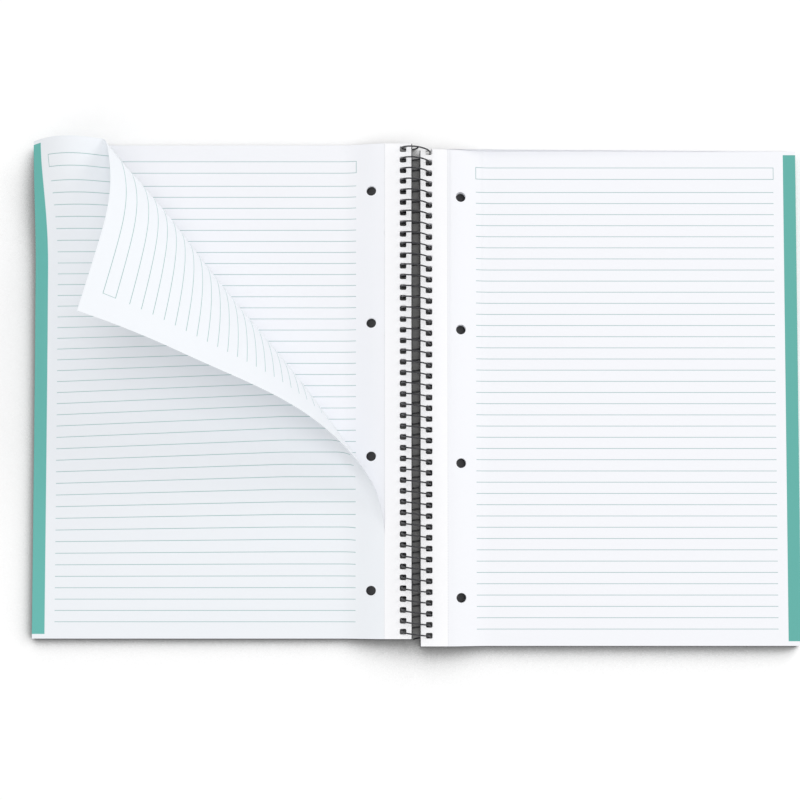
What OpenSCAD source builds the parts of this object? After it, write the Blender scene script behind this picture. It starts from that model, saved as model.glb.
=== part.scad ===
// Open spiral notebook, lying flat with its top edge towards +Y.
// Origin: on the table, under the coil's axis, half way along it.

/* [Sheets] */
// Width of a sheet, from its spine edge to its outer edge
sheet_w = 226; // [190:1:250]
// Height of a sheet
sheet_h = 297; // [280:1:320]
// Thickness of the block of sheets turned over to the left
left_stack_t = 2.6; // [1.5:0.1:3.4]
// Thickness of the block of sheets still on the right
right_stack_t = 4.6; // [3:0.1:5.2]
// How far the left half lies nearer the top than the right half
half_offset = 4.2; // [3:0.1:5]
// Distance from a sheet's spine edge to its tear-off line
tear_line_inset = 16; // [14:0.5:18]
// Width of the scored groove along the tear-off line
score_w = 0.5; // [0.3:0.1:1]
// Depth of that groove
score_depth = 0.2; // [0.1:0.05:0.4]

/* [Filing holes] */
// Diameter of a filing hole
file_hole_d = 6; // [5:0.1:7]
// Distance between two filing holes
file_hole_pitch = 80; // [70:1:84]
// Number of filing holes
file_hole_count = 4; // [2:1:4]
// Distance from a sheet's spine edge to the middle of its filing holes
file_hole_inset = 24; // [22:0.5:30]

/* [Covers] */
// Thickness of a cover
cover_t = 0.8; // [0.5:0.1:1]
// How far a cover stands out past the sheets on every side
cover_lip = 0.6; // [0.3:0.1:1]
// Radius of a cover's two outer corners
cover_corner_r = 3; // [1:0.5:8]

/* [Coil] */
// Radius of the coil, to the middle of its wire
coil_r = 8.5; // [8.2:0.1:9.2]
// Diameter of the coated wire
wire_d = 0.9; // [0.7:0.1:1.1]
// Distance between two turns
coil_pitch = 6.43; // [6.2:0.01:6.6]
// How far a crimped wire end turns in towards the axis
crimp_in = 3.2; // [2:0.1:3.6]
// Angle over which a wire end is crimped
crimp_turn = 30; // [25:1:35]

/* [Spiral holes] */
// Distance from a sheet's spine edge to the middle of its spiral holes
hole_inset = 4.9; // [4.5:0.1:5.4]
// Room between the wire and a spiral hole, across the spine
hole_side_clear = 0.8; // [0.5:0.05:1]
// Room between the wire and a spiral hole, along the spine, when opened flat or shut
hole_end_clear = 0.2; // [0.15:0.05:0.3]
// How far the rows of spiral holes lie nearer the top than the middle of a sheet
hole_row_shift = 1.35; // [0:0.05:1.5]
// Least distance from the last spiral hole's middle to the end of a sheet
hole_end_margin = 2.4; // [2:0.1:3]
// Size of a spiral hole's cut corners
hole_corner = 0.6; // [0.3:0.1:0.9]

/* [Rise to the coil] */
// Height of a cover's underside where the coil passes through it
spine_rise = 4.2; // [3.9:0.1:4.6]
// Length over which a half slopes down from its tear-off line to the table
rise_run = 26; // [20:1:40]

/* [Torn leaf] */
// Thickness of the torn leaf
leaf_t = 0.25; // [0.15:0.05:0.4]
// Distance from the leaf's bottom edge to the end of the tear
tear_end = 63; // [58:1:70]
// Angle through which the leaf is lifted before it curls over
lift_turn = 1.5; // [1:0.5:6]
// Distance from the leaf's outer corner to the point near which its bending lines meet, on the top edge
cone_start = 49; // [30:1:60]
// Angle through which the leaf is curled over
curl_turn = 135; // [110:1:150]
// Share of that angle bent in the curl's first half
early_share = 0.68; // [0.5:0.01:0.75]
// How fast the curl's bending lines spread up the torn edge
torn_spread = 2.2; // [1.8:0.1:3]
// How fast the same lines spread along the top edge
top_spread = 8; // [4:0.5:8]

/* [Hidden] */

// Heights and edges that both halves share
coil_z = coil_r + wire_d / 2;
left_top = cover_t + left_stack_t;
right_top = cover_t + right_stack_t;

// The coil's angle, from its top, where it passes a height above the table
function wire_angle(z) = acos((z - coil_z) / coil_r);
low_angle = wire_angle(spine_rise);
left_angle = wire_angle(spine_rise + left_top);
right_angle = wire_angle(spine_rise + right_top);

// Spiral holes: wide enough for the slanting wire, long enough for its travel as the notebook shuts
wire_in = coil_r * sin(low_angle) - wire_d / 2 / sin(low_angle);
wire_out = coil_r + wire_d / 2;
hole_w = wire_out - wire_in + 2 * hole_side_clear;
hole_x = (wire_out + wire_in) / 2;
shut_travel = coil_pitch / 4;
wire_sweep = coil_pitch * (low_angle - right_angle) / 360;
hole_h = wire_d + wire_sweep + shut_travel + 2 * hole_end_clear;
hole_count = floor((sheet_h - 2 * hole_row_shift - 2 * hole_end_margin) / coil_pitch) + 1;
spine_x = hole_x - hole_inset;
outer_x = spine_x + sheet_w;
tear_x = spine_x + tear_line_inset;

// Along the spine: where the top of the first turn lies, and the two rows of holes
first_turn_y = hole_row_shift + (hole_count - 1) / 2 * coil_pitch;
left_row_y = first_turn_y + coil_pitch * (low_angle + left_angle) / 720 - shut_travel / 2;
right_row_y = first_turn_y - coil_pitch * (low_angle + right_angle) / 720 + shut_travel / 2;

// Coil mesh
turn_steps = 16;
wire_sides = 6;

// Sloping zone
slope_steps = 8;

// Height that a half gains at a distance from the coil's axis
function rise(x) = spine_rise * (1 + cos(180 * max(0, min(1, (x - tear_x) / rise_run)))) / 2;

// Distances from the axis at which the slope is broken into flats
slope_x = [for (i = [0 : slope_steps]) tear_x + rise_run * i / slope_steps];

// Section of a layer: level by the coil, sloping down, then flat on what lies below
module layer_section(x0, x1, z0, t) {
    xs = concat([x0], slope_x, [x1]);
    n = len(xs);
    polygon(concat(
        [for (x = xs) [x, z0 + rise(x)]],
        [for (i = [n - 1 : -1 : 0]) [xs[i], z0 + t + rise(xs[i])]]));
}

module layer(x0, x1, z0, t, h, y_mid) {
    translate([0, y_mid + h / 2, 0])
        rotate([90, 0, 0])
            linear_extrude(h)
                layer_section(x0, x1, z0, t);
}

// One spiral hole seen from above
module hole_outline() {
    w = hole_w / 2;
    h = hole_h / 2;
    c = hole_corner;
    polygon([[w - c, h], [w, h - c], [w, c - h], [w - c, -h], [c - w, -h], [-w, c - h], [-w, h - c], [c - w, h]]);
}

module spiral_holes(row_y, z0, depth) {
    for (i = [0 : hole_count - 1])
        translate([hole_x, row_y - i * coil_pitch, z0])
            linear_extrude(depth)
                hole_outline();
}

module filing_holes(y_mid, z0, depth) {
    for (i = [0 : file_hole_count - 1])
        translate([spine_x + file_hole_inset, y_mid + (i - (file_hole_count - 1) / 2) * file_hole_pitch, z0])
            cylinder(d = file_hole_d, h = depth, $fn = 48);
}

// A block of sheets on the +X side
module page_block(t, y_mid, row_y) {
    difference() {
        layer(spine_x, outer_x, cover_t, t, sheet_h, y_mid);
        spiral_holes(row_y, 0, 4 * coil_r);
        filing_holes(y_mid, 0, 4 * coil_r);
        translate([tear_x - score_w / 2, y_mid - sheet_h, cover_t + t + spine_rise - score_depth])
            cube([score_w, 2 * sheet_h, 1]);
    }
}

// A cover on the +X side
module cover(y_mid, row_y) {
    x1 = outer_x + cover_lip;
    h = sheet_h + 2 * cover_lip;
    r = cover_corner_r;
    difference() {
        layer(spine_x - cover_lip, x1, 0, cover_t, h, y_mid);
        spiral_holes(row_y, 0, 4 * coil_r);
        for (s = [-1, 1])
            translate([x1 - r, y_mid + s * (h / 2 - r), -1])
                difference() {
                    translate([0, s > 0 ? 0 : -2 * r, 0])
                        cube([2 * r, 2 * r, cover_t + 2]);
                    translate([0, 0, -1])
                        cylinder(r = r, h = cover_t + 4, $fn = 48);
                }
    }
}

module front_cover() {
    color("#1d1d20")
        mirror([1, 0, 0])
            cover(half_offset / 2, left_row_y);
}

module back_cover() {
    color("#1d1d20")
        cover(-half_offset / 2, right_row_y);
}

module left_pages() {
    color("#f3f4f7")
        mirror([1, 0, 0])
            page_block(left_stack_t, half_offset / 2, left_row_y);
}

module right_pages() {
    color("#f6f7fa")
        page_block(right_stack_t, -half_offset / 2, right_row_y);
}

// Middle of the wire at an angle from the first turn's top; the ends turn in towards the axis
coil_end = 180 + crimp_turn / 2;
last_angle = 360 * (hole_count - 1) + coil_end;
function crimp(a) = max(0, min(1, (crimp_turn - min(a + coil_end, last_angle - a)) / crimp_turn));
function wire_mid(a) =
    let (r = coil_r - crimp_in * crimp(a) * crimp(a))
    [r * sin(a), first_turn_y - coil_pitch * a / 360, coil_z + r * cos(a)];
function unit(v) = v / norm(v);
function wire_ring(a) =
    let (
        mid = wire_mid(a),
        along = unit(wire_mid(a + 0.5) - wire_mid(a - 0.5)),
        side = unit(cross(along, [sin(a), 0, cos(a)])),
        out = cross(side, along))
    [for (k = [0 : wire_sides - 1])
        mid + wire_d / 2 * (cos(360 * k / wire_sides) * out + sin(360 * k / wire_sides) * side)];

module coil() {
    steps = ceil((last_angle + coil_end) * turn_steps / 360);
    rings = [for (i = [0 : steps]) wire_ring(-coil_end + (last_angle + coil_end) * i / steps)];
    m = wire_sides;
    color("#2b2b30")
        polyhedron(
            points = [for (ring = rings) each ring],
            faces = concat(
                [[for (k = [0 : m - 1]) k]],
                [for (i = [0 : steps - 1], k = [0 : m - 1])
                    each [
                        [i * m + k, (i + 1) * m + k, (i + 1) * m + (k + 1) % m],
                        [i * m + k, (i + 1) * m + (k + 1) % m, i * m + (k + 1) % m]]],
                [[for (k = [m - 1 : -1 : 0]) steps * m + k]]));
}

// The torn leaf. On the flat sheet, u runs from the tear-off line to the outer edge and
// v from the end of the tear towards the top. Each of its bending lines goes from a point on
// the torn edge to one on the far edge, which is the outer edge and then the top edge. The
// first lines fan out from the end of the tear up to the cone's start, and the rest follow
// one after another up the torn edge and along the top edge, so no two of them cross.
leaf_w = sheet_w - tear_line_inset;
torn_h = sheet_h - tear_end;
tip_h = 4;
fan_gap = 0.1;
cone_gap = 0.2;
tear_gap = 0.3;
strip_overlap = 1;
tongue_inset = 0.04;
fan_start = 0.2;
fan_steps = 4;
curl_steps = 40;
far_steps = 4;
slope_fade = 40;

// A place along the far edge, as a point of the flat sheet
far_length = torn_h + leaf_w;
function far_point(w) = w < torn_h ? [leaf_w, w] : [leaf_w - (w - torn_h), torn_h];

// Each bending line: its start on the torn edge, its place on the far edge, its angle of bend
cone_w = torn_h + cone_start;
fan_ws = concat(
    [for (i = [0 : fan_steps - 1]) torn_h * (fan_start + (1 - fan_start) * i / fan_steps)],
    [torn_h, torn_h + cone_start / 2]);
fan_lines = [for (i = [0 : len(fan_ws) - 1]) [fan_gap * i, fan_ws[i], lift_turn / len(fan_ws)]];
fan_top = fan_gap * len(fan_ws);
function curl_share(s) = s < 0.5 ? early_share : 1 - early_share;
curl_lines = [for (i = [0 : curl_steps - 1])
    let (s = (i + 0.5) / curl_steps)
    [fan_top + (torn_h - tip_h - fan_top) * pow(s, torn_spread),
        cone_w + cone_gap * i + (far_length - tip_h - cone_gap * curl_steps - cone_w) * pow(s, top_spread),
        curl_turn * curl_share(s) * 2 / curl_steps]];
lines = concat(fan_lines, curl_lines);

// Turning by an angle about the line through a point of the flat sheet
function turned(p, dir, a) =
    let (c = cos(a), s = sin(a), x = dir[0], y = dir[1],
        m = [[c + x * x * (1 - c), x * y * (1 - c), y * s],
            [x * y * (1 - c), c + y * y * (1 - c), -x * s],
            [-y * s, x * s, c]],
        q = p - m * p)
    [[m[0][0], m[0][1], m[0][2], q[0]],
        [m[1][0], m[1][1], m[1][2], q[1]],
        [m[2][0], m[2][1], m[2][2], q[2]],
        [0, 0, 0, 1]];
still = [[1, 0, 0, 0], [0, 1, 0, 0], [0, 0, 1, 0], [0, 0, 0, 1]];
function bend(l) = turned([0, l[0], 0], unit(far_point(l[1]) - [0, l[0]]), l[2]);
// Place of the sheet at each bending line, before that line's own bend, and above the last
places = [for (i = 0, m = still; i <= len(lines); m = i < len(lines) ? m * bend(lines[i]) : m, i = i + 1) m];

// Distances along one line across the leaf: close together on the slope, then wider apart
function line_us(u1) =
    let (k = min(1, u1 / (2 * rise_run)))
    concat(
        [for (x = slope_x) (x - tear_x) * k],
        [for (j = [1 : far_steps]) rise_run * k + (u1 - rise_run * k) * j / far_steps]);

// A point of the leaf as built. Near the tear the leaf still follows the slope below it.
function leaf_point(u, v, z, m) =
    let (
        p = m * [u, v, z, 1],
        held = max(0, 1 - max(0, v) / slope_fade))
    [-tear_x - p[0],
        half_offset / 2 - sheet_h / 2 + tear_end + p[1],
        left_top + p[2] + held * rise(tear_x + u)];

// The leaf's points along one line. Below the tear they start with a thin tongue inside the
// strip, which joins the two, and above it they start just clear of the strip.
function leaf_line(l, m, side, torn) =
    let (
        far = far_point(l[1]),
        us = line_us(far[0]),
        z = side * leaf_t,
        tongue_z = torn ? z : side * (leaf_t - 2 * tongue_inset) + tongue_inset)
    concat(
        [leaf_point(torn ? min(tear_gap, us[1] / 3) : -strip_overlap, l[0], tongue_z, m)],
        [leaf_point(torn ? min(2 * tear_gap, us[1] / 2) : 0, l[0], tongue_z, m)],
        [for (k = [1 : len(us) - 1]) leaf_point(us[k], l[0] + (far[1] - l[0]) * us[k] / far[0], z, m)]);

module leaf_sheet() {
    low_lines = [[-tear_end, -tear_end], [-tear_end / 2, -tear_end / 4], [-fan_gap, 0]];
    sides = [for (side = [0, 1])
        concat(
            [for (l = low_lines) each leaf_line(l, still, side, false)],
            [for (i = [0 : len(lines) - 1]) each leaf_line(lines[i], places[i], side, true)],
            [leaf_point(0, torn_h, side * leaf_t, places[len(lines)])])];
    n = len(line_us(leaf_w)) + 1;
    rows = len(low_lines) + len(lines);
    up = rows * n + 1;
    last = (rows - 1) * n;
    tip = rows * n;
    polyhedron(
        points = [for (side = sides) each side],
        faces = concat(
            [for (i = [0 : rows - 2], j = [0 : n - 2])
                let (a = i * n + j)
                each [[a, a + n + 1, a + 1], [a, a + n, a + n + 1],
                    [up + a, up + a + 1, up + a + n + 1], [up + a, up + a + n + 1, up + a + n]]],
            [for (j = [0 : n - 2])
                let (b = last + j)
                each [[j, j + 1, up + j + 1], [j, up + j + 1, up + j],
                    [b, tip, b + 1], [up + b, up + b + 1, up + tip]]],
            [for (i = [0 : rows - 1])
                let (a = i * n, c = i < rows - 1 ? a + n : tip, b = a + n - 1, d = i < rows - 1 ? b + n : tip)
                each [[a, up + c, c], [a, up + a, up + c], [b, d, up + d], [b, up + d, up + b]]]));
}

// The strip that stays on the coil along the whole spine
module leaf_strip() {
    translate([0, 0, left_top + spine_rise])
        linear_extrude(leaf_t)
            difference() {
                translate([-tear_x, half_offset / 2 - sheet_h / 2])
                    square([tear_line_inset, sheet_h]);
                for (i = [0 : hole_count - 1])
                    translate([-hole_x, left_row_y - i * coil_pitch])
                        hole_outline();
            }
}

// Of its filing holes only the lowest is in the part that lies flat
module torn_leaf() {
    color("#fbfbfd")
        difference() {
            union() {
                leaf_strip();
                leaf_sheet();
            }
            translate([
                -spine_x - file_hole_inset,
                half_offset / 2 - (file_hole_count - 1) / 2 * file_hole_pitch,
                left_top])
                cylinder(d = file_hole_d, h = 2 * spine_rise, $fn = 48);
        }
}

coil();
front_cover();
back_cover();
left_pages();
right_pages();
torn_leaf();
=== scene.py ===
import math

import bpy
import numpy as np
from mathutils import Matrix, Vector
from mathutils.geometry import delaunay_2d_cdt


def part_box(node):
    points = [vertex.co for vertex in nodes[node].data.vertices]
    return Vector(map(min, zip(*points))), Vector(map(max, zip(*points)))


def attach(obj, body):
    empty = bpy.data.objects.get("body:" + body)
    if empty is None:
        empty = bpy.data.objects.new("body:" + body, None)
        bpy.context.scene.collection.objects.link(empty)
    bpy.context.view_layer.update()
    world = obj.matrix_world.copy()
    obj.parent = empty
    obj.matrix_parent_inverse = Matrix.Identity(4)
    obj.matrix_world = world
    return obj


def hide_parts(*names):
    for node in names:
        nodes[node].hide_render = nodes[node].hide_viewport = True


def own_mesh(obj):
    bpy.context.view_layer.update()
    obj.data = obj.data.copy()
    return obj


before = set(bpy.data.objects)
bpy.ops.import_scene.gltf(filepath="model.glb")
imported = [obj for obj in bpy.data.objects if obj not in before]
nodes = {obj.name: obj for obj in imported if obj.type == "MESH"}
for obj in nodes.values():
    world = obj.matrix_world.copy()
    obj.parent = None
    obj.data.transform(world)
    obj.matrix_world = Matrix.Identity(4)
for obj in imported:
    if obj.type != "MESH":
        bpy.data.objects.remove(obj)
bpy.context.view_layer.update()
mm = 0.001
print("frame loaded:", ", ".join(sorted(nodes)))


def ink(red, green, blue):
    # a colour as it looks on paper, 0 to 255, turned into the linear values a shader takes
    shades = [value / 255 for value in (red, green, blue)]
    linear = [((s + 0.055) / 1.055) ** 2.4 if s > 0.04045 else s / 12.92 for s in shades]
    return (*linear, 1)


def feed(tree, socket, value):
    if isinstance(value, bpy.types.NodeSocket):
        tree.links.new(value, socket)
    else:
        socket.default_value = value


def calc(tree, operation, *values):
    node = tree.nodes.new("ShaderNodeMath")
    node.operation = operation
    for socket, value in zip(node.inputs, values):
        feed(tree, socket, value)
    return node.outputs[0]


def clamped(socket):
    socket.node.use_clamp = True
    return socket


def edgeMask(tree, value, edge, soft):
    # 0 below the edge, 1 above it, over a soft step
    return clamped(calc(tree, "MULTIPLY_ADD", calc(tree, "SUBTRACT", value, edge), 1 / soft, 0.5))


def bandMask(tree, value, low, high, soft):
    below = calc(tree, "SUBTRACT", 1, edgeMask(tree, value, high, soft))
    return calc(tree, "MULTIPLY", edgeMask(tree, value, low, soft), below)


def mixColour(tree, factor, first, second, blend="MIX"):
    node = tree.nodes.new("ShaderNodeMix")
    node.data_type = "RGBA"
    node.blend_type = blend
    colours = [s for s in node.inputs if s.type == "RGBA"]
    for socket, value in zip([node.inputs[0]] + colours, (factor, first, second)):
        feed(tree, socket, value)
    return [s for s in node.outputs if s.type == "RGBA"][0]


def noise(tree, place, scale, detail, roughness):
    node = tree.nodes.new("ShaderNodeTexNoise")
    tree.links.new(place, node.inputs["Vector"])
    node.inputs["Scale"].default_value = scale
    node.inputs["Detail"].default_value = detail
    node.inputs["Roughness"].default_value = roughness
    return node.outputs["Fac"]


def greyOf(tree, value):
    # one value in red, green and blue
    node = tree.nodes.new("ShaderNodeCombineXYZ")
    for socket in node.inputs:
        tree.links.new(value, socket)
    return node.outputs[0]


def objectPlace(tree):
    return tree.nodes.new("ShaderNodeTexCoord").outputs["Object"]


def addBump(tree, shader, height, look):
    bump = tree.nodes.new("ShaderNodeBump")
    bump.inputs["Strength"].default_value = look["bumpStrength"]
    bump.inputs["Distance"].default_value = look["bumpDepth"]
    tree.links.new(height, bump.inputs["Height"])
    tree.links.new(bump.outputs[0], shader.inputs["Normal"])


def newGroup(name, inputs, outputs):
    # a shader group whose outputs are all plain values
    group = bpy.data.node_groups.new(name, "ShaderNodeTree")
    for label, kind, value in inputs:
        socket = group.interface.new_socket(label, in_out="INPUT", socket_type=kind)
        if value is not None:
            socket.default_value = value
    for label in outputs:
        group.interface.new_socket(label, in_out="OUTPUT", socket_type="NodeSocketFloat")
    given = group.nodes.new("NodeGroupInput").outputs
    return group, given, group.nodes.new("NodeGroupOutput").inputs


def useGroup(tree, group, place, **values):
    node = tree.nodes.new("ShaderNodeGroup")
    node.node_tree = group
    tree.links.new(place, node.inputs["Place"])
    for label, value in values.items():
        node.inputs[label].default_value = value
    return node.outputs


def newMaterial(name):
    material = bpy.data.materials.new(name)
    material.use_nodes = True
    tree = material.node_tree
    return material, tree, tree.nodes["Principled BSDF"]


# printed and scored on every sheet: across from the spine edge, down from the top edge
printing = {
    "firstRow": 25.0 * mm,
    "rowPitch": 6.72 * mm,
    "rowCount": 40,
    "rowStart": 33.2 * mm,
    "rowEnd": 212.6 * mm,
    "lineWidth": 0.36 * mm,
    "boxTop": 10.0 * mm,
    "boxHeight": 7.0 * mm,
    "bandWidth": 7.5 * mm,
    "bandTop": 2.2 * mm,
    "bandBottom": 2.7 * mm,
    "tearLine": 16.0 * mm,
    "cutPitch": 1.6 * mm,
    "cutSpan": (0.14, 0.86),  # shares of the pitch
    "cutHalf": 0.1 * mm,
    "edgeSoft": 0.06 * mm,
    "countSoft": 0.1,
}
rightLow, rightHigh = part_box("right_pages")
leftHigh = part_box("left_pages")[1]
sheetWidth = rightHigh.x - rightLow.x
sheetHeight = rightHigh.y - rightLow.y
spineX = rightLow.x
tearLine = printing["tearLine"]


def makePrintAndPaintedLightGroup():
    # print and perforation masks, and the strip beside the coil that gets a painted highlight
    p = printing
    group, given, result = newGroup(
        "sheetPrintAndPaintedLight", [("Place", "NodeSocketVector", None)], ["Ruling", "Band", "Cuts", "Strip"])
    split = group.nodes.new("ShaderNodeSeparateXYZ")
    group.links.new(given["Place"], split.inputs[0])
    across, down = split.outputs[0], split.outputs[1]
    soft = p["edgeSoft"]
    half = p["lineWidth"] / 2

    row = calc(group, "DIVIDE", calc(group, "SUBTRACT", down, p["firstRow"]), p["rowPitch"])
    nearest = calc(group, "ROUND", row)
    away = calc(group, "ABSOLUTE", calc(group, "SUBTRACT", row, nearest))
    away = calc(group, "MULTIPLY", away, p["rowPitch"])
    line = calc(group, "SUBTRACT", 1, edgeMask(group, away, half, soft))
    counted = bandMask(group, nearest, -0.5, p["rowCount"] - 0.5, p["countSoft"])
    line = calc(group, "MULTIPLY", line, counted)
    ruled = bandMask(group, across, p["rowStart"], p["rowEnd"], soft)
    line = calc(group, "MULTIPLY", line, ruled)

    def headerBox(grow):
        boxBottom = p["boxTop"] + p["boxHeight"]
        wide = bandMask(group, across, p["rowStart"] - grow, p["rowEnd"] + grow, soft)
        high = bandMask(group, down, p["boxTop"] - grow, boxBottom + grow, soft)
        return calc(group, "MULTIPLY", wide, high)

    boxLine = calc(group, "SUBTRACT", headerBox(half), headerBox(-half))
    group.links.new(clamped(calc(group, "ADD", line, boxLine)), result["Ruling"])

    outer = edgeMask(group, across, sheetWidth - p["bandWidth"], soft)
    long = bandMask(group, down, p["bandTop"], sheetHeight - p["bandBottom"], soft)
    group.links.new(calc(group, "MULTIPLY", outer, long), result["Band"])

    dash = calc(group, "FRACT", calc(group, "DIVIDE", down, p["cutPitch"]))
    dash = bandMask(group, dash, *p["cutSpan"], p["countSoft"])
    narrow = bandMask(group, across, tearLine - p["cutHalf"], tearLine + p["cutHalf"], soft)
    group.links.new(calc(group, "MULTIPLY", narrow, dash), result["Cuts"])
    # painted highlight: the strip between the tear line and the coil, painted lighter than the
    # rest of the sheet
    strip = calc(group, "SUBTRACT", 1, edgeMask(group, across, tearLine, soft))
    group.links.new(strip, result["Strip"])
    return group


# finish of uncoated paper, with a painted highlight on the strip beside the coil; each noise is
# scale, detail, roughness
paperLook = {
    # painted highlight: the strip beside the coil is painted lighter than the paper, for the
    # light it catches there
    "strip": ink(250, 250, 252),
    "cut": ink(150, 152, 160),
    "cutStrength": 0.35,
    "cutDepth": 2.0,
    "roughness": 0.86,
    "bandSheen": -0.2,
    "clouds": (60, 4, 0.6),
    "cloudShare": 0.7,
    "flecks": (900, 2, 0.6),
    "fleckShare": 0.3,
    "cloudTone": 0.012,
    "fibres": (2600, 3, 0.7),
    "tooth": 1.0,
    "bumpStrength": 0.12,
    "bumpDepth": 0.05 * mm,
    "refraction": 1.45,
    "specular": 0.25,
}
printedPapers = {
    "rightPaper": {
        "paper": ink(242, 243, 247), "teal": ink(98, 174, 165),
        "rule": ink(120, 166, 165), "ruleStrength": 0.8},
    "leftPaper": {
        "paper": ink(242, 243, 247), "teal": ink(92, 165, 155),
        "rule": ink(120, 166, 165), "ruleStrength": 0.78},
    # painted shade: the leaf's paper is the piles' paper set a little darker and cooler, standing
    # in for the shade on the leaf
    "shadedLeafPaper": {
        "paper": ink(237, 240, 244), "teal": ink(104, 182, 174),
        "rule": ink(112, 166, 162), "ruleStrength": 0.76},
}


def makeFibreGroup():
    # cloudy tone and fine tooth
    look = paperLook
    group, given, result = newGroup(
        "paperFibre",
        [("Place", "NodeSocketVector", None), ("Cloud", "NodeSocketFloat", look["cloudTone"]),
         ("Tooth", "NodeSocketFloat", look["tooth"])],
        ["Tone", "Height"])
    cloud = noise(group, given["Place"], *look["clouds"])
    fleck = noise(group, given["Place"], *look["flecks"])
    cloud = calc(group, "MULTIPLY", cloud, look["cloudShare"])
    fleck = calc(group, "MULTIPLY", fleck, look["fleckShare"])
    both = calc(group, "SUBTRACT", calc(group, "ADD", cloud, fleck), 0.5)
    group.links.new(calc(group, "MULTIPLY_ADD", both, given["Cloud"], 1), result["Tone"])
    fibre = noise(group, given["Place"], *look["fibres"])
    group.links.new(calc(group, "MULTIPLY", fibre, given["Tooth"]), result["Height"])
    return group


sheetPrintAndPaintedLight = makePrintAndPaintedLightGroup()
paperFibre = makeFibreGroup()


def paperMaterial(name, inks):
    look = paperLook
    material, tree, shader = newMaterial(name)
    sheetMap = tree.nodes.new("ShaderNodeUVMap")
    sheetMap.uv_map = "sheet"
    masks = useGroup(tree, sheetPrintAndPaintedLight, sheetMap.outputs[0])
    fibre = useGroup(
        tree, paperFibre, objectPlace(tree), Cloud=look["cloudTone"], Tooth=look["tooth"])
    ruling = calc(tree, "MULTIPLY", masks["Ruling"], inks["ruleStrength"])
    cuts = calc(tree, "MULTIPLY", masks["Cuts"], look["cutStrength"])
    # painted highlight on the strip beside the coil
    colour = mixColour(tree, masks["Strip"], inks["paper"], look["strip"])
    colour = mixColour(tree, ruling, colour, inks["rule"])
    colour = mixColour(tree, masks["Band"], colour, inks["teal"])
    colour = mixColour(tree, cuts, colour, look["cut"])
    colour = mixColour(tree, 1.0, colour, greyOf(tree, fibre["Tone"]), "MULTIPLY")
    tree.links.new(colour, shader.inputs["Base Color"])
    dull = calc(tree, "MULTIPLY_ADD", masks["Band"], look["bandSheen"], look["roughness"])
    tree.links.new(dull, shader.inputs["Roughness"])
    sunk = calc(tree, "MULTIPLY", masks["Cuts"], look["cutDepth"])
    addBump(tree, shader, calc(tree, "SUBTRACT", fibre["Height"], sunk), look)
    shader.inputs["IOR"].default_value = look["refraction"]
    shader.inputs["Specular IOR Level"].default_value = look["specular"]
    return material


papers = {name: paperMaterial(name, inks) for name, inks in printedPapers.items()}
print("paper materials ready")

# a half rises towards the coil, beyond the start it falls to its outer level
slope = {"rise": 4.2 * mm, "start": tearLine, "run": 26 * mm, "steps": 16}
foldStations = slope["start"] + slope["run"] * np.arange(slope["steps"] + 1) / slope["steps"]


def riseAt(across):
    # height a half gains at a distance from its spine edge
    share = np.clip((np.asarray(across, float) - slope["start"]) / slope["run"], 0, 1)
    return slope["rise"] * (1 + np.cos(math.pi * share)) / 2


pile = {
    "sheetPitch": 0.2 * mm,
    "sheetThickness": 0.165 * mm,
    "shift": 0.14 * mm,
    "rightHeight": 4.6 * mm,
    "holeInset": 4.9 * mm,
    "holeWidth": 4.044 * mm,
    "holeHeight": 3.593 * mm,
    "holeCorner": 0.6 * mm,
    "holePitch": 6.43 * mm,
    "holeCount": 46,
    "fileHoleInset": 24 * mm,
    "fileHoleRadius": 3 * mm,
    "fileHolePitch": 80 * mm,
    "fileHoleCount": 4,
    "fileHoleSides": 40,
    "smoothAngle": 35,
}
rightSheets = {"side": 1, "top": rightHigh.y, "count": 23, "firstHole": 1.443 * mm, "seed": 3}
leftSheets = {"side": -1, "top": leftHigh.y, "count": 13, "firstHole": 3.386 * mm, "seed": 8}


def spiralHoles(firstHole):
    w, h, c = pile["holeWidth"] / 2, pile["holeHeight"] / 2, pile["holeCorner"]
    shape = [(w - c, h), (w, h - c), (w, c - h), (w - c, -h),
             (c - w, -h), (-w, c - h), (-w, h - c), (c - w, h)]
    downs = [firstHole + i * pile["holePitch"] for i in range(pile["holeCount"])]
    return [[(pile["holeInset"] + x, down + y) for x, y in shape] for down in downs]


def fileHoles(first=0):
    radius, count = pile["fileHoleRadius"], pile["fileHoleCount"]
    angles = np.linspace(0, 2 * math.pi, pile["fileHoleSides"], endpoint=False)
    holes = []
    for i in range(first, count):
        down = sheetHeight / 2 + (i - (count - 1) / 2) * pile["fileHolePitch"]
        holes.append([
            (pile["fileHoleInset"] + radius * math.cos(a), down + radius * math.sin(a))
            for a in angles])
    return holes


def insideConvex(point, loop):
    side = 0
    for (x0, y0), (x1, y1) in zip(loop, loop[1:] + loop[:1]):
        cross = (x1 - x0) * (point[1] - y0) - (y1 - y0) * (point[0] - x0)
        if side and cross * side < 0:
            return False
        side = side or cross
    return True


def middleOf(flat, face):
    return [sum(flat[i][k] for i in face) / 3 for k in (0, 1)]


def cutSheet(outline, holes, foldLines):
    # flat triangles of a sheet with holes, split along its fold lines
    points, edges = [], []
    for loop in [outline] + holes:
        start = len(points)
        points += loop
        edges += [(start + i, start + (i + 1) % len(loop)) for i in range(len(loop))]
    for a, b in foldLines:
        edges.append((len(points), len(points) + 1))
        points += [a, b]
    scale = 1 / mm
    weld = 1e-5  # in millimetres, as the points are here
    scaled = [Vector((x * scale, y * scale)) for x, y in points]
    vertices, _, faces, _, _, _ = delaunay_2d_cdt(scaled, edges, [], 0, weld)
    flat = [(v.x / scale, v.y / scale) for v in vertices]
    boxes = []
    for hole in holes:
        xs, ys = zip(*hole)
        boxes.append((min(xs), max(xs), min(ys), max(ys), hole))

    def inHole(x, y):
        return any(
            left < x < right and low < y < high and insideConvex((x, y), hole)
            for left, right, low, high, hole in boxes)

    return flat, [tuple(f) for f in faces if not inHole(*middleOf(flat, f))]


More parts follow.
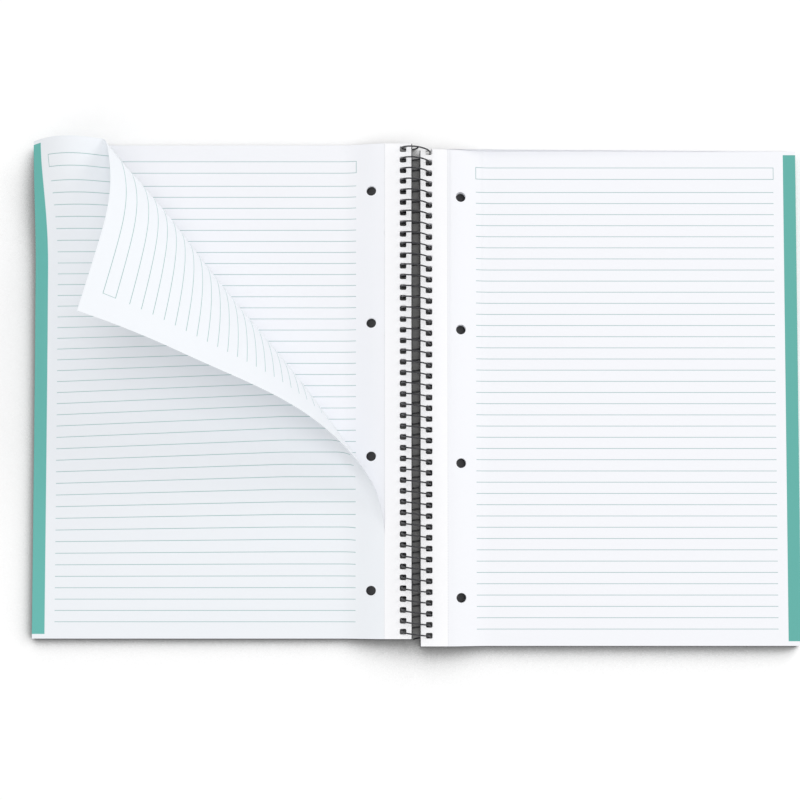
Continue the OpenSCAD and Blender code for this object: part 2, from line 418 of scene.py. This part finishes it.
def solidSheet(flat, triangles, place, thickness):
    # place(across, down, height) puts a corner; heights 0 and thickness are the two faces
    n = len(flat)
    corners = [place(a, d, thickness) for a, d in flat] + [place(a, d, 0) for a, d in flat]
    edges = dict.fromkeys((a, b) for f in triangles for a, b in zip(f, f[1:] + f[:1]))
    rim = [(a, b) for a, b in edges if (b, a) not in edges]
    faces = list(triangles) + [tuple(n + i for i in reversed(f)) for f in triangles]
    faces += [(b, a, n + a, n + b) for a, b in rim]
    return corners, faces, list(flat) + list(flat)


def meshFrom(name, corners, faces, flatPlaces, smoothAngle, flip=False):
    # the flat places are kept as the map that the print follows
    if flip:
        faces = [tuple(reversed(f)) for f in faces]
    mesh = bpy.data.meshes.new(name)
    mesh.from_pydata([tuple(c) for c in corners], [], faces)
    layer = mesh.uv_layers.new(name="sheet")
    index = np.empty(len(mesh.loops), np.int32)
    mesh.loops.foreach_get("vertex_index", index)
    layer.data.foreach_set("uv", np.asarray(flatPlaces, np.float32)[index].ravel())
    mesh.validate()
    mesh.shade_smooth()
    mesh.set_sharp_from_angle(angle=math.radians(smoothAngle))
    return mesh


def linkObject(name, data):
    obj = bpy.data.objects.new(name, data)
    bpy.context.scene.collection.objects.link(obj)
    return obj


def nodesTree(name, inputs):
    tree = bpy.data.node_groups.new(name, "GeometryNodeTree")
    for label, kind in [("Geometry", "NodeSocketGeometry")] + inputs:
        tree.interface.new_socket(label, in_out="INPUT", socket_type=kind)
    tree.interface.new_socket("Geometry", in_out="OUTPUT", socket_type="NodeSocketGeometry")
    given = tree.nodes.new("NodeGroupInput").outputs
    return tree, given, tree.nodes.new("NodeGroupOutput").inputs


def endTree(tree, geometry, material, result):
    real = tree.nodes.new("GeometryNodeRealizeInstances")
    tree.links.new(geometry, real.inputs[0])
    dressed = tree.nodes.new("GeometryNodeSetMaterial")
    tree.links.new(real.outputs[0], dressed.inputs["Geometry"])
    tree.links.new(material, dressed.inputs["Material"])
    tree.links.new(dressed.outputs[0], result["Geometry"])


def growPiece(name, source, tree, values):
    # runs the tree on the source object and keeps the result as a plain mesh
    modifier = source.modifiers.new(name, "NODES")
    modifier.node_group = tree
    sockets = {s.name: s.identifier for s in tree.interface.items_tree if s.in_out == "INPUT"}
    for label, value in values.items():
        modifier[sockets[label]] = value
    graph = bpy.context.evaluated_depsgraph_get()
    mesh = bpy.data.meshes.new_from_object(
        source.evaluated_get(graph), preserve_all_data_layers=True, depsgraph=graph)
    mesh.name = name
    source.modifiers.remove(modifier)
    bpy.data.objects.remove(source)
    return linkObject(name, mesh)


def makePileTree():
    # copies one sheet upwards, each strayed a little sideways
    tree, given, result = nodesTree("sheetPile", [
        ("Count", "NodeSocketInt"), ("Pitch", "NodeSocketFloat"), ("Shift", "NodeSocketFloat"),
        ("Seed", "NodeSocketInt"), ("Paper", "NodeSocketMaterial")])
    add, link = tree.nodes.new, tree.links.new
    line = add("GeometryNodeMeshLine")
    link(given["Count"], line.inputs["Count"])
    step = add("ShaderNodeCombineXYZ")
    link(given["Pitch"], step.inputs["Z"])
    link(step.outputs[0], line.inputs["Offset"])
    copies = add("GeometryNodeInstanceOnPoints")
    link(line.outputs[0], copies.inputs["Points"])
    link(given["Geometry"], copies.inputs["Instance"])
    most = add("ShaderNodeCombineXYZ")
    link(given["Shift"], most.inputs["X"])
    link(given["Shift"], most.inputs["Y"])
    least = add("ShaderNodeVectorMath")
    least.operation = "SCALE"
    least.inputs["Scale"].default_value = -1
    link(most.outputs[0], least.inputs[0])
    stray = add("FunctionNodeRandomValue")
    stray.data_type = "FLOAT_VECTOR"
    link(least.outputs[0], stray.inputs["Min"])
    link(most.outputs[0], stray.inputs["Max"])
    link(given["Seed"], stray.inputs["Seed"])
    moved = add("GeometryNodeTranslateInstances")
    link(copies.outputs[0], moved.inputs["Instances"])
    link(stray.outputs[0], moved.inputs["Translation"])
    endTree(tree, moved.outputs[0], given["Paper"], result)
    return tree


pileTree = makePileTree()
coverTop = rightHigh.z - slope["rise"] - pile["rightHeight"]


def makePile(name, sheets, paper):
    outline = [(0, 0), (sheetWidth, 0), (sheetWidth, sheetHeight), (0, sheetHeight)]
    folds = [((x, 0), (x, sheetHeight)) for x in foldStations]
    holes = spiralHoles(sheets["firstHole"]) + fileHoles()
    flat, triangles = cutSheet(outline, holes, folds)
    side, top = sheets["side"], sheets["top"]

    def place(across, down, height):
        z = coverTop + height + float(riseAt(across))
        return (side * (spineX + across), top - down, z)

    corners, faces, flatPlaces = solidSheet(flat, triangles, place, pile["sheetThickness"])
    mesh = meshFrom(
        name + "Sheet", corners, faces, flatPlaces, pile["smoothAngle"], flip=side > 0)
    return growPiece(name, linkObject(name + "Sheet", mesh), pileTree, {
        "Count": sheets["count"], "Pitch": pile["sheetPitch"], "Shift": pile["shift"],
        "Seed": sheets["seed"], "Paper": paper})


rightPile = makePile("rightPile", rightSheets, papers["rightPaper"])
leftPile = makePile("leftPile", leftSheets, papers["leftPaper"])
for piece, body, node, slotName in ((rightPile, "right_half", "right_pages", "right_paper"),
                                    (leftPile, "left_half", "left_pages", "left_paper")):
    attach(piece, body)
    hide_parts(node)
print("piles of sheets:", len(rightPile.data.polygons), len(leftPile.data.polygons))

# torn leaf, curled over along straight bending lines; angles in degrees
leaf = {
    "tearEnd": 63 * mm,
    "liftTurn": 1.97,
    "fanLines": 12,
    "fanFrom": 0.2,  # share of the torn height at which the first line meets the outer edge
    "fanStep": 0.05 * mm,
    "coneStart": 46.3 * mm,
    "coneGap": 6.8 * mm,
    "curlTurn": 143.2,
    "curlShares": (2.447, 0.443, 0.667),  # at the first, middle and last line
    "curlLines": 200,
    "curlFrom": 0.6 * mm,
    "tornSpread": 1.854,
    "topSpread": 3.44,
    "tipHeight": 4 * mm,
    "layFade": 12 * mm,
    "thickness": 0.18 * mm,
    "lift": 0.03 * mm,
    "toothPitch": 1.6 * mm,
    "toothDepth": 0.22 * mm,
    "toothShares": (0.55, 0.45),  # even and wild
    "toothWild": (12.9898, 43758.5453),
    "archSine": 0.7,
    "archHalf": 27 * mm,
    "archTurn": 40 * mm,
    "archEnd": 70 * mm,
    "archPlaces": 281,
    "archReach": 75 * mm,
    "archFloat": 6 * mm,
    "sway": 8.5 * mm,
    "swayMiddle": 165 * mm,
    "swayReach": 110 * mm,
    "swayFull": 150 * mm,
    "swayOuter": 0.25,
    "swayHold": 25 * mm,
    "smoothAngle": 40,
}
leafMesh = {
    "innerSpan": (2 * mm, 44 * mm),
    "innerColumns": 18,
    "outerColumns": 46,
    "coneSpan": (-14 * mm, 6 * mm),
    "coneColumns": 22,
    "rows": 440,
    "topRows": 30,
    "topZone": 12 * mm,
    "stripGap": 0.3 * mm,
    "stripStep": 0.4 * mm,
    "heldSpan": (50 * mm, 8 * mm),  # from the spine edge and from the outer edge
    "heldColumns": 15,
    "heldRows": 13,
}
leafWidth = sheetWidth - tearLine
tornHeight = sheetHeight - leaf["tearEnd"]  # also how far down the sheet the tear ends
farLength = tornHeight + leafWidth
leftTop = leftHigh.z - slope["rise"]


def farPoint(w):
    # up the outer edge and then back along the top edge
    return (leafWidth, w) if w < tornHeight else (leafWidth - (w - tornHeight), tornHeight)


def bendingLines():
    # start on the tear line, far end on the outer or top edge, turn
    lines = []
    coneAt = tornHeight + leaf["coneStart"]
    fanAt = tornHeight * leaf["fanFrom"]
    for i in range(leaf["fanLines"]):
        w = fanAt + (coneAt - fanAt) * i / leaf["fanLines"]
        lines.append((leaf["fanStep"] * i, farPoint(w), leaf["liftTurn"] / leaf["fanLines"]))
    tornLength = tornHeight - leaf["tipHeight"] - leaf["curlFrom"]
    topLength = farLength - leaf["tipHeight"] - leaf["coneGap"] - coneAt
    for i in range(leaf["curlLines"]):
        s = (i + 0.5) / leaf["curlLines"]
        start = leaf["curlFrom"] + tornLength * s ** leaf["tornSpread"]
        w = coneAt + leaf["coneGap"] * s + topLength * s ** leaf["topSpread"]
        share = float(np.interp(s, (0, 0.5, 1), leaf["curlShares"]))
        lines.append((start, farPoint(w), leaf["curlTurn"] * share / leaf["curlLines"]))
    return lines


def turnAbout(start, far, angle):
    # matrix that turns by the angle about a bending line
    direction = np.array([far[0], far[1] - start, 0])
    x, y, _ = direction / np.linalg.norm(direction)
    c, s = math.cos(math.radians(angle)), math.sin(math.radians(angle))
    turn = np.array([
        [c + x * x * (1 - c), x * y * (1 - c), y * s],
        [x * y * (1 - c), c + y * y * (1 - c), -x * s],
        [-y * s, x * s, c]])
    matrix = np.eye(4)
    matrix[:3, :3] = turn
    pivot = np.array([0, start, 0])
    matrix[:3, 3] = pivot - turn @ pivot
    return matrix


leafLines = bendingLines()
leafPlaces = [np.eye(4)]
for start, far, angle in leafLines:
    leafPlaces.append(leafPlaces[-1] @ turnAbout(start, far, angle))
leafPlaces = np.array(leafPlaces)
lineStarts = np.array([start for start, _, _ in leafLines])
lineWays = np.array([(far[0], far[1] - start) for start, far, _ in leafLines])


def archTables():
    # the top edge climbs from the outer corner and falls again towards the fold;
    # drawn is how much of its length the climb takes up
    across = np.linspace(0, leaf["archEnd"], leaf["archPlaces"])
    sine = leaf["archSine"] * np.cos(math.pi * across / (2 * leaf["archHalf"]))
    last = leaf["archSine"] * math.cos(math.pi * leaf["archTurn"] / (2 * leaf["archHalf"]))
    share = (across - leaf["archTurn"]) / (leaf["archEnd"] - leaf["archTurn"])
    fade = (1 + np.cos(math.pi * share)) / 2
    sine = np.where(across > leaf["archTurn"], last * fade, sine)
    lost = 1 - np.sqrt(1 - sine ** 2)
    step = across[1]
    climb, drawn = (
        np.concatenate([[0], np.cumsum((rate[1:] + rate[:-1]) / 2 * step)])
        for rate in (sine, lost))
    return across, climb, drawn


archAcross, archClimb, archDrawn = archTables()


def eased(share):
    return share * share * (3 - 2 * share)


def swayAt(u, v):
    # how far the lifted sheet is drawn towards its top edge
    down = np.clip((tornHeight - v - leaf["swayMiddle"]) / leaf["swayReach"], -1, 1)
    inwards = np.clip((leafWidth - u) / leaf["swayFull"], 0, 1)
    inwards = leaf["swayOuter"] + (1 - leaf["swayOuter"]) * inwards
    free = np.clip((u + np.maximum(v, 0)) / leaf["swayHold"], 0, 1)
    return leaf["sway"] * np.cos(down * math.pi / 2) ** 2 * inwards * eased(free)


def leafPoints(u, v, height):
    # u from the tear line outwards, v from the end of the tear upwards; gives frame points
    ahead = lineWays[None, :, 0] * (v[:, None] - lineStarts[None])
    beyond = ahead - lineWays[None, :, 1] * u[:, None] > 0
    passed = np.cumprod(beyond, axis=1).sum(axis=1)
    flatPoints = np.stack([u, v, np.full(len(u), height), np.ones(len(u))], 1)
    moved = np.einsum("nij,nj->ni", leafPlaces[passed], flatPoints)
    x = -(spineX + tearLine) - moved[:, 0]
    y = leftHigh.y - sheetHeight + leaf["tearEnd"] + moved[:, 1]
    # where it still lies on the pile it follows the pile's rise towards the coil
    lying = np.clip(1 - (moved[:, 2] - height) / leaf["layFade"], 0, 1)
    z = leftTop + leaf["lift"] + moved[:, 2] + lying * riseAt(-x - spineX)
    # near its top edge it floats and arches
    near = eased(np.clip(1 - (leftHigh.y - y) / leaf["archReach"], 0, 1))
    z += near * (leaf["archFloat"] + np.interp(leafWidth - u, archAcross, archClimb))
    x -= near ** 2 * np.interp(leafWidth - u, archAcross, archDrawn)
    y += swayAt(u, v)
    return np.stack([x, y, z], 1)


def tooth(v):
    # small ragged nibs left where the perforation gave way
    even = np.abs(((v / leaf["toothPitch"]) % 1) - 0.5) * 2
    turn, scale = leaf["toothWild"]
    wild = np.sin(v / mm * turn) * scale
    evenShare, wildShare = leaf["toothShares"]
    return leaf["toothDepth"] * (evenShare * even + wildShare * (wild - np.floor(wild)))


def makeTornPart():
    # the leaf above the end of the tear, as a grid that follows its bending
    m = leafMesh
    columns = np.unique(np.concatenate([
        [0], np.linspace(*m["innerSpan"], m["innerColumns"]),
        np.linspace(m["innerSpan"][1], leafWidth, m["outerColumns"]),
        leafWidth - leaf["coneStart"] + np.linspace(*m["coneSpan"], m["coneColumns"])]))
    topFrom = tornHeight - m["topZone"]
    rows = np.concatenate([
        np.linspace(0, topFrom, m["rows"], endpoint=False),
        topFrom + np.linspace(0, m["topZone"], m["topRows"])])
    u, v = np.meshgrid(columns, rows)
    edge = np.where(rows > 0, tooth(rows), 0)
    u = np.where(u == 0, edge[:, None], u).ravel()
    v = v.ravel()
    corners = np.concatenate([leafPoints(u, v, leaf["thickness"]), leafPoints(u, v, 0)])
    flat = np.stack([tearLine + u, tornHeight - v], 1)
    across, up = len(columns), len(rows)
    total = across * up
    faces = []
    for row in range(up - 1):
        for a in range(row * across, row * across + across - 1):
            b, d, e = a + 1, a + across + 1, a + across
            faces.append((a, e, d, b))
            faces.append((total + a, total + b, total + d, total + e))
    last = total - across
    rim = [(i - 1, i + across - 1) for i in range(across, total, across)]
    rim += [(last + i + 1, last + i) for i in range(across - 1)]
    rim += [(i + across, i) for i in range(0, last, across)]
    faces += [(a, b, total + b, total + a) for a, b in rim]
    return corners, faces, np.concatenate([flat, flat])


def makeHeldPart():
    # narrow strip left on the coil and the part of the leaf below the end of the tear
    m = leafMesh
    stripEdge = tearLine - m["stripGap"]
    downs = np.arange(0, tornHeight, m["stripStep"])
    edge = [(stripEdge + float(tooth(tornHeight - d)), float(d)) for d in downs]
    outline = [(0, 0)] + edge + [
        (tearLine, tornHeight), (sheetWidth, tornHeight),
        (sheetWidth, sheetHeight), (0, sheetHeight)]
    heldFrom, heldMargin = m["heldSpan"]
    stations = list(foldStations[1:])
    stations += list(np.linspace(heldFrom, sheetWidth - heldMargin, m["heldColumns"]))
    levels = np.linspace(tornHeight, sheetHeight, m["heldRows"])[1:-1]
    folds = [((x, tornHeight), (x, sheetHeight)) for x in stations]
    folds += [((tearLine, down), (sheetWidth, down)) for down in levels]
    lowest = pile["fileHoleCount"] - 1
    holes = spiralHoles(leftSheets["firstHole"]) + fileHoles(first=lowest)
    flat, triangles = cutSheet(outline, holes, folds)

    def isPaper(face):
        across, down = middleOf(flat, face)
        return down > tornHeight or across < stripEdge + float(tooth(tornHeight - down))

    def place(across, down, height):
        u = across - tearLine
        sway = float(swayAt(u, tornHeight - down)) if u > 0 else 0.0
        z = leftTop + leaf["lift"] + float(riseAt(across)) + height
        return (-(spineX + across), leftHigh.y - down + sway, z)

    return solidSheet(flat, [f for f in triangles if isPaper(f)], place, leaf["thickness"])


tornCorners, tornFaces, tornFlat = makeTornPart()
heldCorners, heldFaces, heldFlat = makeHeldPart()
heldFaces = [tuple(len(tornCorners) + i for i in face) for face in heldFaces]
tornLeaf = linkObject("tornLeaf", meshFrom(
    "tornLeaf", list(tornCorners) + heldCorners, tornFaces + heldFaces,
    [tuple(place) for place in tornFlat] + heldFlat, leaf["smoothAngle"]))
tornLeaf.data.materials.append(papers["shadedLeafPaper"])
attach(tornLeaf, "left_half")
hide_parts("torn_leaf")
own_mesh(tornLeaf)
print("torn leaf:", len(tornLeaf.data.polygons))


def darkPlastic(name, look, relief):
    # dark plastic, rubbed lighter and duller in patches, with the relief as its bumps
    material, tree, shader = newMaterial(name)
    place = objectPlace(tree)
    patch = noise(tree, place, *look["patches"])
    colour = mixColour(tree, patch, look["dark"], look["light"])
    tree.links.new(colour, shader.inputs["Base Color"])
    dull = calc(tree, "MULTIPLY_ADD", patch, look["rubbed"], look["roughness"])
    tree.links.new(dull, shader.inputs["Roughness"])
    addBump(tree, shader, relief(tree, place), look)
    return material


coil = {
    "radius": 8.5 * mm,
    "wire": 0.9 * mm,
    "drawnShare": 0.995,
    "pitch": 6.43 * mm,
    "centreZ": 8.95 * mm,
    "firstTurnY": 146.025 * mm,
    "turns": 46,
    "crimpIn": 3.2 * mm,
    "crimpTurn": 30,
    "pointsPerTurn": 40,
    "wireSides": 12,
    "dark": ink(20, 20, 26),
    "light": ink(38, 38, 44),
    "patches": (220, 3, 0.6),
    "roughness": 0.28,
    "rubbed": 0.22,
    "ripples": (1500, 2, 0.6),
    "bumpStrength": 0.2,
    "bumpDepth": 0.02 * mm,
}


def coilPath():
    # one spiral, its two ends bent inwards
    end = 180 + coil["crimpTurn"] / 2
    last = 360 * (coil["turns"] - 1) + end
    count = int((last + end) / 360 * coil["pointsPerTurn"])
    path = []
    for angle in np.linspace(-end, last, count):
        left = min(angle + end, last - angle)
        crimp = max(0, min(1, (coil["crimpTurn"] - left) / coil["crimpTurn"]))
        r = coil["radius"] - coil["crimpIn"] * crimp * crimp
        turn = math.radians(angle)
        y = coil["firstTurnY"] - coil["pitch"] * angle / 360
        path.append((r * math.sin(turn), y, coil["centreZ"] + r * math.cos(turn)))
    return path


def makeWireTree():
    # sweeps a round wire along the path
    tree, given, result = nodesTree("coatedWire", [
        ("Thickness", "NodeSocketFloat"), ("Sides", "NodeSocketInt"),
        ("Coating", "NodeSocketMaterial")])
    add, link = tree.nodes.new, tree.links.new
    ring = add("GeometryNodeCurvePrimitiveCircle")
    link(given["Sides"], ring.inputs["Resolution"])
    link(calc(tree, "DIVIDE", given["Thickness"], 2), ring.inputs["Radius"])
    drawn = add("GeometryNodeCurveToMesh")
    drawn.inputs["Fill Caps"].default_value = True
    link(given["Geometry"], drawn.inputs["Curve"])
    link(ring.outputs[0], drawn.inputs["Profile Curve"])
    smooth = add("GeometryNodeSetShadeSmooth")
    link(drawn.outputs[0], smooth.inputs["Geometry"])
    endTree(tree, smooth.outputs[0], given["Coating"], result)
    return tree


def wireRipples(tree, place):
    return noise(tree, place, *coil["ripples"])


path = coilPath()
pathCurve = bpy.data.curves.new("coilPath", "CURVE")
pathCurve.dimensions = "3D"
spline = pathCurve.splines.new("POLY")
spline.points.add(len(path) - 1)
for point, place in zip(spline.points, path):
    point.co = (*place, 1)
coilWire = growPiece("coilWire", linkObject("coilPath", pathCurve), makeWireTree(), {
    "Thickness": coil["wire"] * coil["drawnShare"], "Sides": coil["wireSides"],
    "Coating": darkPlastic("coatedWire", coil, wireRipples)})
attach(coilWire, "coil")
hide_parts("coil")
print("coil:", len(coilWire.data.polygons))

cover = {
    "dark": ink(17, 17, 20),
    "light": ink(28, 28, 32),
    "patches": (35, 4, 0.6),
    "roughness": 0.42,
    "rubbed": 0.2,
    "grainScale": 1400,
    "bumpStrength": 0.35,
    "bumpDepth": 0.04 * mm,
}


def coverGrain(tree, place):
    grain = tree.nodes.new("ShaderNodeTexVoronoi")
    grain.inputs["Scale"].default_value = cover["grainScale"]
    tree.links.new(place, grain.inputs["Vector"])
    return grain.outputs["Distance"]


coverPlastic = darkPlastic("coverPlastic", cover, coverGrain)
for name in ("front_cover", "back_cover"):
    mesh = nodes[name].data
    mesh.materials.clear()
    mesh.materials.append(coverPlastic)
    for face in mesh.polygons:
        face.material_index = 0
print("covers dressed")

table = {
    "size": 2.3,
    "z": -0.0003,
    "roughness": 0.9,
    "shadeReach": 0.055,
    "shadePower": 2.6,
    "shadeLeast": 0.25,
    "shadeTowards": (0.5, 0.48, 0.72),  # where most light comes from
    "shadeGain": 1.04,
    "shadeSamples": 8,
}
lights = {
    "top": {"place": (0.4, 0.2, 3.9), "size": 2.0, "power": 42.0},
    "side": {"place": (3.2, 1.7, 1.7), "size": 2.2, "power": 36.0},
    "fill": {"place": (-2.4, -2.4, 2.0), "size": 2.0, "power": 11.0},
}
roomStrength = 0.66
view = {
    "tilt": 2.5,
    "distance": 0.82,
    "pixelsPerMetre": 1671.7,
    "imageSide": 800,
    "shift": 0.1,
    "middle": (-0.00957, -0.0041, 0.004),
    "sensor": 36,
    "clip": (0.01, 20),
}


def tableMaterial():
    # the table greys softly where the object stands between it and the side light
    material, tree, shader = newMaterial("tableWhite")
    towards = Vector(table["shadeTowards"]).normalized()
    aim = tree.nodes.new("ShaderNodeCombineXYZ")
    for socket, value in zip(aim.inputs, towards):
        socket.default_value = value
    hemmed = tree.nodes.new("ShaderNodeAmbientOcclusion")
    hemmed.samples = table["shadeSamples"]
    hemmed.inputs["Distance"].default_value = table["shadeReach"]
    tree.links.new(aim.outputs[0], hemmed.inputs["Normal"])
    openShare = (1 + towards.z) / 2  # what a leaning normal sees of the open room
    free = clamped(calc(tree, "MULTIPLY", hemmed.outputs["AO"], table["shadeGain"] / openShare))
    shade = calc(tree, "POWER", free, table["shadePower"])
    shade = calc(tree, "MAXIMUM", shade, table["shadeLeast"])
    tree.links.new(greyOf(tree, shade), shader.inputs["Base Color"])
    shader.inputs["Roughness"].default_value = table["roughness"]
    shader.inputs["Specular IOR Level"].default_value = 0.0
    return material


def makeTable():
    half, z = table["size"] / 2, table["z"]
    mesh = bpy.data.meshes.new("tableTop")
    corners = [(-half, -half, z), (half, -half, z), (half, half, z), (-half, half, z)]
    mesh.from_pydata(corners, [], [(0, 1, 2, 3)])
    mesh.materials.append(tableMaterial())
    linkObject("tableTop", mesh)


def makeRoom():
    # white where it is seen, softer as a light
    world = bpy.data.worlds.new("softRoom")
    bpy.context.scene.world = world
    world.use_nodes = True
    tree = world.node_tree
    backdrop = tree.nodes["Background"]
    backdrop.inputs["Color"].default_value = (1, 1, 1, 1)
    rays = tree.nodes.new("ShaderNodeLightPath").outputs
    seen = calc(tree, "MAXIMUM", rays["Is Glossy Ray"], rays["Is Transmission Ray"])
    seen = calc(tree, "MAXIMUM", rays["Is Camera Ray"], seen)
    strength = calc(tree, "MULTIPLY_ADD", seen, 1 - roomStrength, roomStrength)
    tree.links.new(strength, backdrop.inputs["Strength"])


def softLight(name):
    light = bpy.data.lights.new(name, "AREA")
    light.shape = "DISK"
    light.size = lights[name]["size"]
    light.energy = lights[name]["power"]
    lamp = linkObject(name, light)
    lamp.location = lights[name]["place"]
    lamp.rotation_euler = (-lamp.location).to_track_quat("-Z", "Y").to_euler()


def makeCamera():
    camera = linkObject("camera", bpy.data.cameras.new("camera"))
    bpy.context.scene.camera = camera
    lens = camera.data
    lens.sensor_width = view["sensor"]
    lens.lens = view["sensor"] * view["pixelsPerMetre"] * view["distance"] / view["imageSide"]
    lens.shift_y = view["shift"]
    lens.clip_start, lens.clip_end = view["clip"]
    tilt = math.radians(view["tilt"])
    lowered = view["shift"] * view["imageSide"] / view["pixelsPerMetre"]
    lookAt = Vector(view["middle"]) - Vector((0, lowered, 0))
    camera.location = lookAt + view["distance"] * Vector((0, -math.sin(tilt), math.cos(tilt)))
    camera.rotation_euler = (tilt, 0, 0)


makeTable()
makeRoom()
for name in lights:
    softLight(name)
makeCamera()
bpy.context.scene.view_settings.view_transform = "Standard"
print("stage, light and camera ready")
